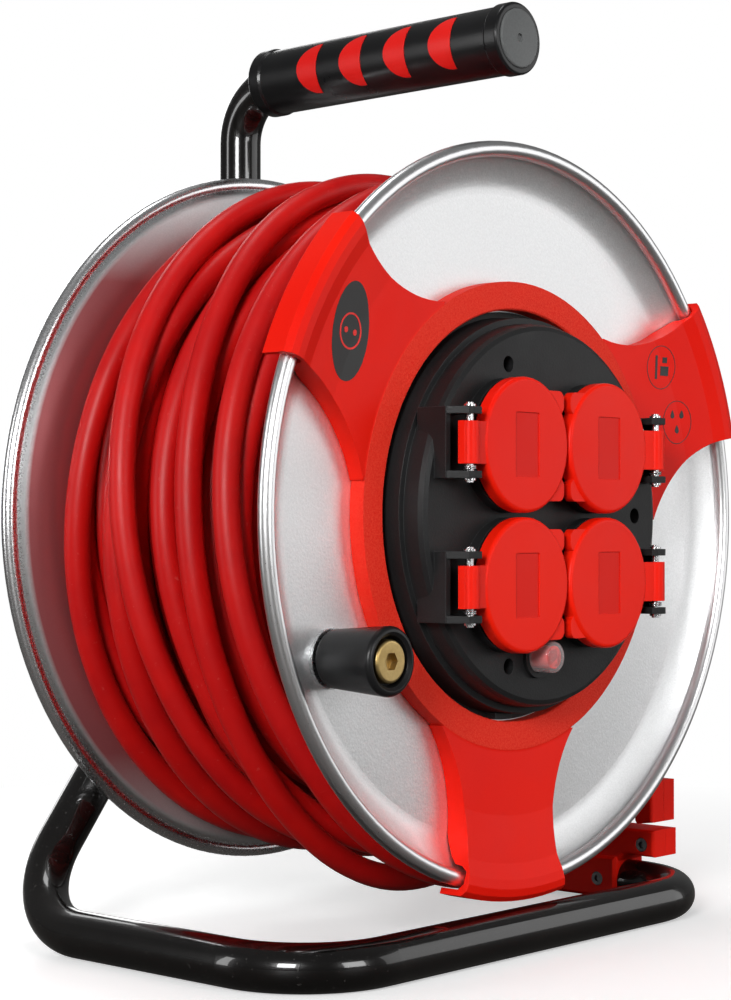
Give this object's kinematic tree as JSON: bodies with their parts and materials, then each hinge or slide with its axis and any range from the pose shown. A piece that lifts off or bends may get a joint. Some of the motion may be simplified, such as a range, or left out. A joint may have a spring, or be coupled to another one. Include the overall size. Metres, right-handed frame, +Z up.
{
  "type": "extension cord reel",
  "caption": "Open metal cable drum with covered wall-type sockets in its hub, wound with rubber cable, turning on a tube stand with a carry grip and a side clip for the plug.",
  "frame": {"origin": "on the floor under the middle of the drum", "axes": "+X to the right seen from the socket side, +Y from the sockets to the rear post, +Z up; the drum turns about Y"},
  "size_m": [0.3069, 0.1985, 0.3697],
  "materials": {
    "painted_tube": "gloss black powder coat",
    "zinc_steel": "zinc plated steel",
    "flange_sheet": "satin galvanised sheet with fine grain",
    "black_grip": "satin black plastic",
    "red_inlay": "satin red plastic",
    "grey_cap": "fine textured grey plastic",
    "red_plastic": "smooth moulded red plastic",
    "black_housing": "textured black plastic",
    "white_plastic": "natural plastic",
    "seal_rubber": "soft black rubber",
    "red_cable": "red rubber sheath",
    "plug_rubber": "black rubber",
    "brass": "bright brass",
    "clear_cap": "clear flexible plastic"
  },
  "bodies": {
    "frame": {"base_tube": "painted_tube", "post_tube": "painted_tube", "bearing_plate": "painted_tube", "axle": "zinc_steel", "axle_nut": "zinc_steel", "axle_rear_washer": "zinc_steel", "axle_end_washer": "zinc_steel", "axle_end_bolt": "zinc_steel", "grip_sleeve": "black_grip", "grip_inlays": "red_inlay", "grip_end_cap": "grey_cap", "holder_inner": "red_plastic", "holder_outer": "red_plastic", "holder_screws": "zinc_steel", "holder_nuts": "zinc_steel"},
    "drum": {"front_flange": "flange_sheet", "rear_flange": "flange_sheet", "rear_rivets": "zinc_steel", "drum_core": "flange_sheet", "hub_tube": "zinc_steel", "inner_bulkhead": "zinc_steel", "front_bush": "black_housing", "rear_bush": "black_housing", "spider_cover": "red_plastic", "socket_housing": "black_housing", "housing_gasket": "seal_rubber", "housing_screws": "zinc_steel", "socket_insert_ul": "black_housing", "socket_insert_ur": "black_housing", "socket_insert_ll": "black_housing", "socket_insert_lr": "black_housing", "earth_clips": "zinc_steel", "contact_sleeves": "brass", "live_busbar": "brass", "neutral_busbar": "brass", "terminal_block": "white_plastic", "thermal_cutout": "black_housing", "hinge_pins": "zinc_steel", "lid_springs": "zinc_steel", "cable_winding": "red_cable", "feed_cable": "red_cable", "cord_gland": "black_housing", "knob_bolt": "brass", "knob_washer": "zinc_steel", "knob_nut": "zinc_steel"},
    "lid_ul": {"lid_ul": "red_plastic", "lid_seal_ul": "seal_rubber"},
    "lid_ur": {"lid_ur": "red_plastic", "lid_seal_ur": "seal_rubber"},
    "lid_ll": {"lid_ll": "red_plastic", "lid_seal_ll": "seal_rubber"},
    "lid_lr": {"lid_lr": "red_plastic", "lid_seal_lr": "seal_rubber"},
    "knob": {"knob_sleeve": "black_housing"},
    "reset": {"reset_button": "red_plastic", "button_cap": "clear_cap"},
    "plug": {"plug_body": "plug_rubber", "plug_pins": "brass", "plug_earth_contacts": "brass", "plug_cable": "red_cable"}
  },
  "joints": [
    {"name": "drum_spin", "type": "hinge", "parent": "frame", "child": "drum", "pos_m": [0, 0, 0.169], "axis": [0, 1, 0], "continuous": true},
    {"name": "lid_ul_hinge", "type": "hinge", "parent": "drum", "child": "lid_ul", "pos_m": [-0.059, -0.0908, 0.1953], "axis": [0, 0, -1], "range_deg": [0, 105], "stiffness_Nm_per_rad": 0.01, "springref_deg": -20.05},
    {"name": "lid_ur_hinge", "type": "hinge", "parent": "drum", "child": "lid_ur", "pos_m": [0.059, -0.0908, 0.1953], "axis": [0, 0, 1], "range_deg": [0, 105], "stiffness_Nm_per_rad": 0.01, "springref_deg": -20.05},
    {"name": "lid_ll_hinge", "type": "hinge", "parent": "drum", "child": "lid_ll", "pos_m": [-0.059, -0.0908, 0.1427], "axis": [0, 0, -1], "range_deg": [0, 105], "stiffness_Nm_per_rad": 0.01, "springref_deg": -20.05},
    {"name": "lid_lr_hinge", "type": "hinge", "parent": "drum", "child": "lid_lr", "pos_m": [0.059, -0.0908, 0.1427], "axis": [0, 0, 1], "range_deg": [0, 105], "stiffness_Nm_per_rad": 0.01, "springref_deg": -20.05},
    {"name": "knob_spin", "type": "hinge", "parent": "drum", "child": "knob", "pos_m": [-0.1015, -0.077, 0.1176], "axis": [0, 1, 0], "continuous": true},
    {"name": "reset_press", "type": "slide", "parent": "drum", "child": "reset", "axis": [0, 1, 0], "range_m": [-0.0025, 0.001], "stiffness_N_per_m": 200},
    {"name": "plug_pull", "type": "slide", "parent": "frame", "child": "plug", "axis": [0, 1, 0], "range_m": [0, 0.025]}
  ]
}
